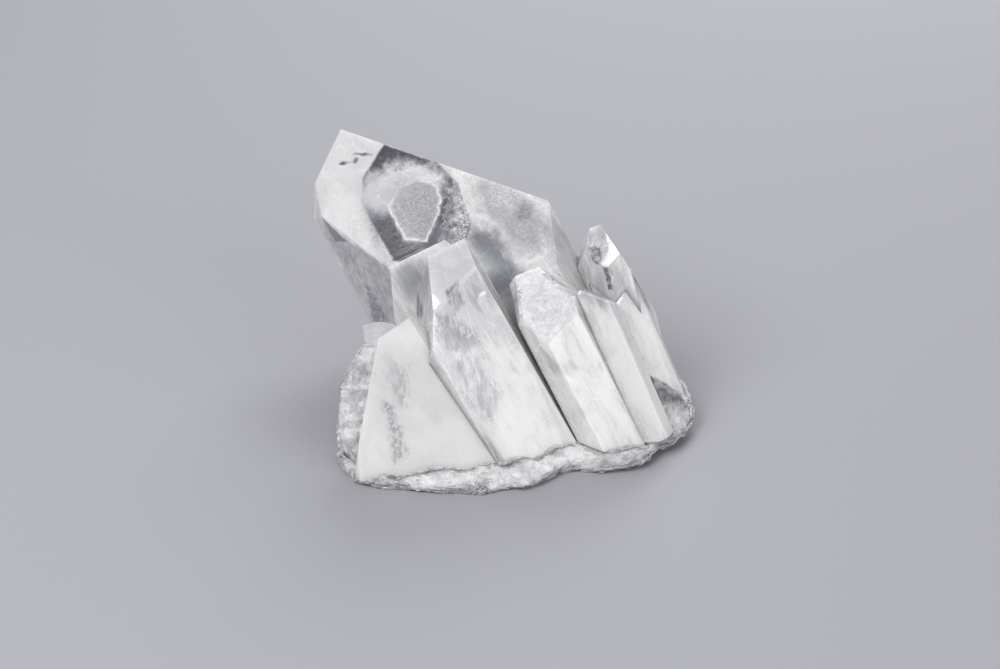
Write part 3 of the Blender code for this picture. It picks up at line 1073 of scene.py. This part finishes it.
# The front crystal: its end face evened out to a pale bluish grey, a painted sheen for the softbox that it
# mirrors, and windows down its broad face.
END_SHEEN = ((-8.0, 2.0), (4.0, 2.0), (4.0, -16.0), (-8.0, -16.0))
FRONT_TIP = FacePicture(
    looks=(-0.13, -0.59, 0.80),
    marks=(
        # Painted sheen: the end face is made evenly paler where the softbox is mirrored on it.
        Mark(0.72, END_SHEEN, soft=0.5, ragged=0.0, strength=0.85),
        Mark(0.8, ((-1.7, -4.5), (1.6, 1.2)), Shape.OVAL, soft=1.2, ragged=1.0, strength=0.6),
    ),
)
TOP_WINDOW = ((-6.2, -3.2), (-3.4, -2.0), (-3.1, -5.7), (-5.0, -7.3))
LONG_WINDOW = ((-8.6, -6.4), (-6.1, -7.4), (-2.6, -10.4), (-1.9, -13.5), (-6.2, -13.8), (-9.0, -10.4))
LOW_WINDOW = ((-7.3, -14.1), (-2.2, -16.5), (0.8, -22.1), (-2.2, -27.0), (-6.4, -22.3))
FRONT_FACE = FacePicture(
    looks=(0.41, -0.83, 0.39),
    marks=(
        Mark(0.2, TOP_WINDOW, soft=1.0, ragged=1.2, grain=0.6, drawn=3.0, strength=0.8),
        Mark(0.3, LONG_WINDOW, soft=1.6, ragged=2.2, grain=0.7, drawn=4.0, strength=0.85),
        Mark(0.35, ((-1.4, -1.8), (0.4, -4.4), (-1.0, -6.2)), soft=0.7, ragged=0.6, strength=0.7),
        Mark(0.45, LOW_WINDOW, soft=2.8, ragged=3.0, grain=1.0, drawn=4.0, strength=0.8),
        Mark(1.0, ((0.5, -5.1), (0.75, 0.3)), Shape.OVAL, soft=0.2, ragged=0.2, turn=20),
    ),
)
# The smaller crystals: a window or a streak on each.
SIDE_WINDOW = ((-9.4, -3.0), (-6.2, -1.6), (-5.0, -4.9), (-6.8, -8.6), (-8.6, -6.9))
SIDE_FACE = FacePicture((0.01, -0.93, 0.36), (Mark(0.42, SIDE_WINDOW, soft=2.0, ragged=1.4, strength=0.6),))
UPPER_STREAK = ((-3.3, -6.8), (-0.6, -8.2), (-0.9, -14.6), (-3.1, -14.1))
LOWER_STREAK = ((-5.2, -13.6), (-3.4, -14.6), (-1.4, -22.8), (-3.6, -24.2))
LEFT_FACE = FacePicture(
    looks=(0.13, -0.93, 0.35),
    marks=(
        Mark(0.5, UPPER_STREAK, soft=2.6, ragged=1.8, grain=0.6, drawn=3.0, strength=0.7),
        Mark(0.4, LOWER_STREAK, soft=2.2, ragged=2.0, grain=0.4, drawn=2.0, strength=0.8),
    ),
)
TIP_WINDOW = ((-0.2, -4.6), (1.8, -3.4), (2.8, -6.3), (1.7, -7.8))
RIGHT_TIP = FacePicture((-0.43, -0.62, 0.66), (Mark(0.22, TIP_WINDOW, soft=0.6, ragged=1.2, grain=0.8),))
RIGHT_WINDOW = ((-5.6, 0.9), (-3.2, 1.2), (-1.1, -6.5), (-3.6, -6.6))
RIGHT_FACE = FacePicture((0.14, -0.96, 0.26), (Mark(0.1, RIGHT_WINDOW, soft=0.4, ragged=0.6, grain=0.9),))
SHOULDER_WINDOW = ((-4.1, -8.6), (-2.2, -10.4), (-1.3, -14.8), (-3.4, -13.2))
SHOULDER_FACE = FacePicture(
    looks=(0.39, -0.80, 0.46),
    marks=(Mark(0.35, SHOULDER_WINDOW, soft=0.8, ragged=1.0, grain=0.4, strength=0.8),),
)

# Rock crystal is colourless quartz that grew freely. Its flat faces mirror a little, and the eye looks
# through them to veils of bubbles and dark clear depths.
MAIN_QUARTZ = GrownQuartz(
    "rock_crystal_grown_veiled",
    pictures=(TIP_FACE, LEFT_SIDE_FACE),
    cloud=0.7,
    root_at=55,
    root_cloud=0.72,
    layers=VEILS,
    cracks=0.28,
)
FRONT_QUARTZ = GrownQuartz("rock_crystal_grown_front", (FRONT_TIP, FRONT_FACE), cloud=0.62, root_at=34)
SIDE_QUARTZ = GrownQuartz("rock_crystal_grown_side", (SIDE_FACE,), cloud=0.75, root_at=20)
RIGHT_QUARTZ = GrownQuartz("rock_crystal_grown_right", (RIGHT_TIP, RIGHT_FACE), cloud=0.62, root_at=24)
SHOULDER_QUARTZ = GrownQuartz("rock_crystal_grown_shoulder", (SHOULDER_FACE,), cloud=0.7, root_at=18)
RIGHT_FRONT_QUARTZ = GrownQuartz("rock_crystal_grown_right_front", cloud=0.66, root_at=16)
# Milky quartz grew fast and holds so many bubbles that it is nearly even white, under the same glassy faces.
LEFT_QUARTZ = GrownQuartz(
    "milky_quartz_grown_left", (LEFT_FACE,), cloud=0.88, root_at=12, layers=MILK, cracks=0.2
)
STUMP_QUARTZ = GrownQuartz("milky_quartz_grown_stump", cloud=0.72, root_at=12, root_cloud=0.86)
# Etched quartz was eaten into as it lay, which leaves it dull, like ground glass.
KNOB_QUARTZ = GrownQuartz(
    "milky_quartz_etched_knob", cloud=0.6, root_at=8, root_cloud=0.8, gloss=0.4, frost=0.6, coat=0.1
)
# Snapped quartz: one blow leaves shell-like ripples and bright facets.
SNAPPED = BrokenQuartz(
    "quartz_snapped_bright",
    light="#FFFFFF",
    dark="#E6E8EC",
    grain=0.8,
    tilt=0.6,
    blow=Blow((-0.14, -0.67, 0.73), spacing=1.5, reach=7.5),
)
# Crushed quartz: steep small facets that flash, with frost between them.
FROSTY = BrokenQuartz("quartz_crushed_frosty", grain=0.9, tilt=0.8, gloss=0.08)
# The crust is a mass of small grown-together grains, and looks like lump sugar.
SUGARY = BrokenQuartz("quartz_crust_sugary", dark="#CDCED1", grain=1.3, specks=0.41)

PIECES = (
    Crystal("main_crystal", MAIN_QUARTZ),
    Crystal("front_crystal", FRONT_QUARTZ),
    Crystal("side_crystal", SIDE_QUARTZ),
    Crystal("left_crystal", LEFT_QUARTZ),
    Crystal("right_crystal", RIGHT_QUARTZ),
    Crystal("shoulder_crystal", SHOULDER_QUARTZ),
    Crystal("right_front_crystal", RIGHT_FRONT_QUARTZ),
    Crystal("knob_crystal", KNOB_QUARTZ),
    Crystal("broken_crystal", STUMP_QUARTZ, SNAPPED),
    Crust("left_broken_crystal", FROSTY, lumps=0.9, grains=0.3),
    Crust("quartz_matrix", SUGARY, lumps=1.2, grains=0.4),
)


@dataclass(frozen=True)
class Softbox:
    """One square soft light that faces the cluster.

    Attributes:
        name: Its name.
        place: Where it hangs, in metres.
        size: Its side in metres.
        power: Its power in watts.
    """

    name: str
    place: Direction
    size: float
    power: float


@dataclass
class Studio:
    """A plain pale floor, soft lights and the camera.

    Attributes:
        lights: The lights: the key from the left, a fill from the right, and one behind.
        floor_colour: The floor's colour.
        floor_side: Its side in metres.
        room_colour: The colour of the room's even light.
        elevation: How far the camera looks down, in degrees.
        distance: How far the camera stands from what it looks at, in metres.
        lens: Its focal length in millimetres.
        aim_forward: How far in front of the cluster's middle it looks, as a share of the depth.
        aim_height: How high it looks, as a share of the cluster's height.
    """

    lights: tuple[Softbox, ...] = (
        Softbox("key_softbox", (-0.30, -0.28, 0.45), 0.35, 2.6),
        Softbox("fill_softbox", (0.36, -0.40, 0.24), 0.40, 1.0),
        Softbox("back_softbox", (0.12, 0.42, 0.34), 0.30, 1.8),
    )
    floor_colour: str = "#A2A2A7"
    floor_side: float = 4.0
    room_colour: str = "#9A9AA0"
    elevation: float = 30.0
    distance: float = 0.411
    lens: float = 85.0
    aim_forward: float = 0.175
    aim_height: float = 0.5

    def build(self) -> None:
        """Adds the floor, the lights, the surroundings and the camera."""
        low, high = (Vector(corner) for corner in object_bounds())
        aim = Vector((0, -self.aim_forward * (high.y - low.y), self.aim_height * (high.z - low.z)))
        self.add_floor()
        for light in self.lights:
            self.add_light(light, aim)
        self.add_surroundings()
        self.add_camera(aim)

    def add_floor(self) -> None:
        """Adds the floor."""
        bpy.ops.object.select_all(action="DESELECT")
        bpy.ops.mesh.primitive_plane_add(size=self.floor_side)
        floor = bpy.context.active_object
        floor.name = "floor"
        # Studio paper: uncoated pulp, so matt that it shows soft shadows and no reflection.
        paper = bpy.data.materials.new("studio_paper_matt")
        paper.use_nodes = True
        shader = paper.node_tree.nodes["Principled BSDF"]
        shader.inputs["Base Color"].default_value = linear(self.floor_colour)
        shader.inputs["Roughness"].default_value = 0.9
        floor.data.materials.append(paper)
        floor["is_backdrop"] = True

    def add_light(self, box: Softbox, aim: Vector) -> None:
        """Adds one light.

        Args:
            box: The light.
            aim: What it faces.
        """
        light = bpy.data.lights.new(box.name, "AREA")
        light.energy = box.power
        light.size = box.size
        lamp = bpy.data.objects.new(box.name, light)
        lamp.location = box.place
        lamp.rotation_euler = (aim - Vector(box.place)).to_track_quat("-Z", "Y").to_euler()
        bpy.context.scene.collection.objects.link(lamp)

    def add_surroundings(self) -> None:
        """Adds an even grey room."""
        room = bpy.data.worlds.new("grey_room")
        room.use_nodes = True
        room.node_tree.nodes["Background"].inputs["Color"].default_value = linear(self.room_colour)
        bpy.context.scene.world = room
        bpy.context.scene.view_settings.view_transform = "Standard"

    def add_camera(self, aim: Vector) -> None:
        """Adds the camera, straight in front and looking down.

        Args:
            aim: What it looks at.
        """
        tilt = math.radians(self.elevation)
        towards = Vector((0, -math.cos(tilt), math.sin(tilt)))
        lens = bpy.data.cameras.new("camera")
        lens.lens = self.lens
        camera = bpy.data.objects.new("camera", lens)
        camera.location = aim + towards * self.distance
        camera.rotation_euler = (-towards).to_track_quat("-Z", "Y").to_euler()
        bpy.context.scene.collection.objects.link(camera)
        bpy.context.scene.camera = camera


def main() -> None:
    """Builds and dresses the cluster, and sets the studio up round it."""
    logging.basicConfig(level=logging.INFO, format="%(name)s: %(message)s")
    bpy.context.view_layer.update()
    Studio().build()
    for part in PIECES:
        piece = part.build()
        log.info("%s: %d faces", piece.name, len(piece.data.polygons))


if __name__ == "__main__":
    main()
